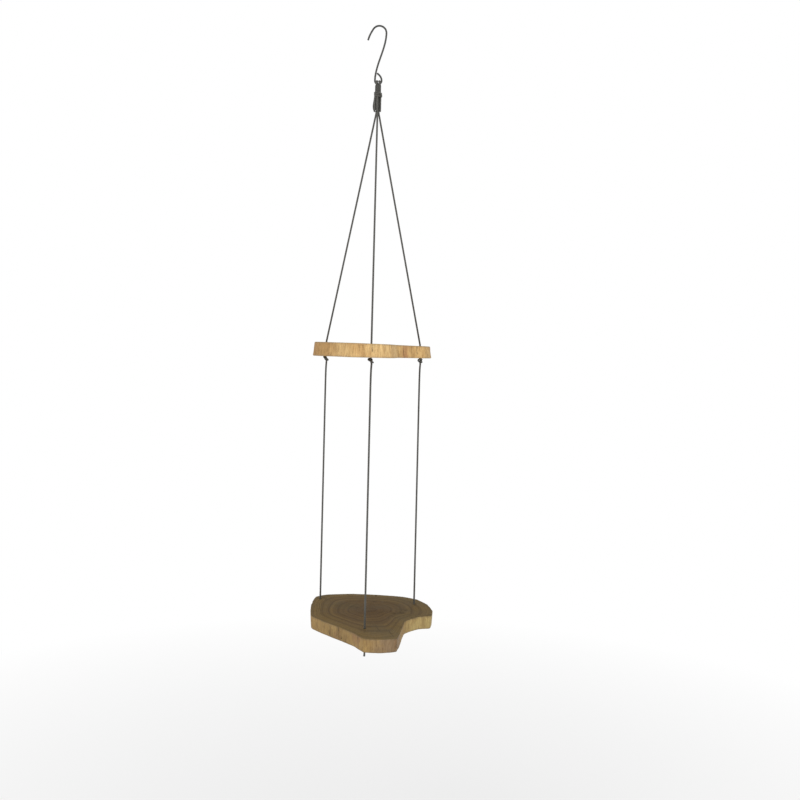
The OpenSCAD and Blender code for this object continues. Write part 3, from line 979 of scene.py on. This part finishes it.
def sawn_wood(name, inner, middle, sap, late, grey, crack, rim_grey, spacing):
    """A sawn face across the trunk: rings, rays, checks, saw marks and a weathered bloom."""
    material, tree, shader = new_material(name)
    place = here(tree)
    rings = use(tree, RINGS, {"Heart": noted(tree, "heart", "Vector"), "Spacing": spacing})
    patchy = cloud(tree, place, 24, 4, 0.6)
    reach = plus(tree, rings["From pith"], stretch(tree, patchy, 0.3, 0.7, -0.012, 0.012))
    reach = stretch(tree, reach, 0.0, 0.1)
    colour = ramp(tree, reach, [(0.12, inner), (0.55, middle), (0.86, sap)])
    colour = blend_colour(tree, stretch(tree, rings["Band"], 0.42, 0.6, 0.0, 0.75), colour, late)
    colour = blend_colour(tree, times(tree, rings["Ring"], 0.6), colour, late)
    colour = toned(tree, colour, stretch(tree, rings["Ray"], 0.3, 0.7, 0.9, 1.08))
    bloom = stretch(tree, cloud(tree, place, 13, 4, 0.6), 0.45, 0.68, 0.0, 0.45)
    colour = blend_colour(tree, bloom, colour, grey)
    colour = greyed(tree, colour, place, rim_grey)
    colour = blend_colour(tree, times(tree, rings["Check"], 0.8), colour, crack)
    pins = use(tree, PINS, {"Place": place, "Scale": 70.0})["Mark"]
    colour = blend_colour(tree, times(tree, pins, 0.55), colour, crack)
    tree.links.new(colour, shader.inputs["Base Color"])
    shader.inputs["Specular IOR Level"].default_value = 0.22
    tree.links.new(stretch(tree, patchy, 0.3, 0.7, 0.66, 0.82), shader.inputs["Roughness"])
    sawn = cloud(tree, scaled(tree, place, (24, 700, 24)), 1.0, 2, 0.5)
    height = minus(tree, times(tree, sawn, 0.7), times(tree, rings["Ring"], 0.35))
    height = minus(tree, height, times(tree, rings["Check"], 1.5))
    raise_surface(tree, shader, height, 0.0004)
    return material


def waxed_cord():
    """Dark waxed cord: three strands of fine yarns, with painted shade in the grooves between them, and a
    faint wax bloom.
    """
    material, tree, shader = new_material("waxed_cord")
    place = here(tree)
    lay = put(tree, "ShaderNodeUVMap", uv_map="lay").outputs["UV"]
    groove_shade = noted(tree, "groove_shade")
    parts = put(tree, "ShaderNodeSeparateXYZ", {0: lay})
    turns = plus(tree, times(tree, parts.outputs["X"], 9.0), times(tree, parts.outputs["Y"], 21.0))
    yarns = math_of(tree, "SINE", times(tree, turns, 2 * math.pi))
    fuzz = cloud(tree, place, 2600, 3, 0.65)
    tone = cloud(tree, place, 120, 3, 0.55)
    colour = ramp(tree, tone, [(0.34, "#3d3c38"), (0.66, "#4c4b45")])
    lit = stretch(tree, fuzz, 0.4, 0.75, 0.0, 0.3)
    colour = blend_colour(tree, lit, colour, "#666359")
    # painted shade: the colour darkens where the section dips into the grooves between the strands
    colour = blend_colour(tree, stretch(tree, groove_shade, 0.02, 0.07, 0.0, 0.45), colour, "#282724")
    tree.links.new(colour, shader.inputs["Base Color"])
    tree.links.new(stretch(tree, fuzz, 0.3, 0.7, 0.38, 0.6), shader.inputs["Roughness"])
    shader.inputs["Sheen Weight"].default_value = 0.12
    shader.inputs["Sheen Roughness"].default_value = 0.45
    height = plus(tree, times(tree, yarns, 0.28), fuzz)
    raise_surface(tree, shader, height, 0.00012)
    return material


def blackened_wire():
    """Steel wire with a dark oxide skin, faint drawing marks and small rubbed spots."""
    material, tree, shader = new_material("blackened_wire")
    place = here(tree)
    mottle = cloud(tree, place, 420, 4, 0.6)
    drawn = cloud(tree, scaled(tree, place, (5200, 5200, 260)), 1.0, 2, 0.5)
    rubbed = stretch(tree, cloud(tree, place, 900, 5, 0.7), 0.6, 0.74)
    colour = ramp(tree, mottle, [(0.34, "#3f3f3d"), (0.66, "#4f4f4c")])
    colour = blend_colour(tree, times(tree, rubbed, 0.2), colour, "#85837d")
    tree.links.new(colour, shader.inputs["Base Color"])
    shader.inputs["Metallic"].default_value = 0.65
    tree.links.new(stretch(tree, mottle, 0.3, 0.7, 0.36, 0.56), shader.inputs["Roughness"])
    raise_surface(tree, shader, plus(tree, mottle, times(tree, drawn, 0.5)), 0.00005)
    return material


def give(piece, *materials):
    piece.data.materials.clear()
    for material in materials:
        piece.data.materials.append(material)


def face_or_side(board, plan):
    """The second material goes on the sawn faces, the first on the side and in the holes."""
    for polygon in board.data.polygons:
        x, z = polygon.center.x / MM, polygon.center.z / MM
        from_face = min(abs(z - plan.top + plan.wedge * x), abs(z - plan.top + BOARD_T))
        flat = abs(polygon.normal.z) > 0.8
        polygon.material_index = 1 if flat and from_face < 1.0 else 0


cord_material = waxed_cord()
for piece in cord_pieces:
    give(piece, cord_material)
give(hook, blackened_wire())

give(upper_slice,
     side_wood("upper_side", deep="#bd9058", pale="#e0ba7d", streak="#a0743f", blush="#b37c55",
               crack="#543a22", rim_grey="#8f7a5c", blush_at=0.55,
               stains=[((-0.07, -0.03, -0.503), 0.055, 0.75, "#b08853"),
                       ((-0.092, 0.04, -0.503), 0.03, 0.5, "#a08d70"),
                       ((0.093, 0.02, -0.503), 0.02, 0.5, "#a8977c"),
                       ((0.03, -0.1, -0.503), 0.045, 0.5, "#e8c68c")]),
     sawn_wood("upper_face", inner="#93704a", middle="#b08c58", sap="#c8a771", late="#7d5f3b",
               grey="#8d8165", crack="#3f2d1c", rim_grey="#8f7c5e", spacing=0.0024))
face_or_side(upper_slice, UPPER)

give(lower_slice,
     side_wood("lower_side", deep="#8e7144", pale="#a98a55", streak="#735534", blush="#8c6748",
               crack="#3d2b1a", rim_grey="#6d5e48", blush_at=0.57,
               stains=[((0.1, 0.0, -0.918), 0.06, 0.8, "#b8a26a"),
                       ((0.045, -0.12, -0.918), 0.035, 0.7, "#86705a"),
                       ((-0.04, -0.065, -0.918), 0.05, 0.35, "#9d8556")]),
     # The lower faces are darker than the upper faces, partly from weathered wood and partly from painted
     # shade, as if under the board above.
     sawn_wood("lower_face_with_painted_shade", inner="#604829", middle="#6e5732", sap="#80693c", late="#4a371f",
               grey="#59513b", crack="#2b2015", rim_grey="#655840", spacing=0.0022))
face_or_side(lower_slice, LOWER)


# Floor and light, in metres

FLOOR_Z = -1.45
LIT_POINT = (0, 0, -0.55)


def set_stage():
    """A pale floor that fades to white, a white sky and two soft lamps."""
    bpy.ops.object.select_all(action="DESELECT")
    bpy.ops.mesh.primitive_plane_add(size=30, location=(0, 0, FLOOR_Z))
    floor = bpy.context.active_object
    floor.name = "floor"
    material, tree, shader = new_material("pale_floor")
    shader.inputs["Base Color"].default_value = (0.9, 0.9, 0.9, 1)
    shader.inputs["Roughness"].default_value = 0.9
    glow = put(tree, "ShaderNodeEmission", {"Color": (1, 1, 1, 1), "Strength": 1.0})
    far = vector_math(tree, "LENGTH", here(tree))
    fade = put(tree, "ShaderNodeMixShader", {0: stretch(tree, far, 0.2, 1.7, 0.4, 1.0),
                                             1: shader.outputs["BSDF"], 2: glow.outputs["Emission"]})
    tree.links.new(fade.outputs["Shader"], tree.nodes["Material Output"].inputs["Surface"])
    give(floor, material)

    world = bpy.data.worlds.new("soft_white")
    world.use_nodes = True
    sky = world.node_tree
    seen = put(sky, "ShaderNodeLightPath").outputs["Is Camera Ray"]
    sky.nodes["Background"].inputs["Color"].default_value = (1, 1, 1, 1)
    sky.links.new(stretch(sky, seen, 0.0, 1.0, 0.62, 1.0), sky.nodes["Background"].inputs["Strength"])
    bpy.context.scene.world = world
    bpy.context.scene.view_settings.view_transform = "Standard"
    for name, place, size, power in (("key", (-1.3, -2.2, 0.9), 1.8, 34),
                                     ("fill", (1.9, -1.6, -0.2), 1.6, 12)):
        data = bpy.data.lights.new(name, "AREA")
        data.size = size
        data.energy = power
        lamp = bpy.data.objects.new(name, data)
        bpy.context.scene.collection.objects.link(lamp)
        lamp.location = place
        toward = Vector(LIT_POINT) - Vector(place)
        lamp.rotation_euler = toward.to_track_quat("-Z", "Y").to_euler()


set_stage()

print("cord lengths in mm:", {k: round(v, 1) for k, v in cord_lengths.items()})
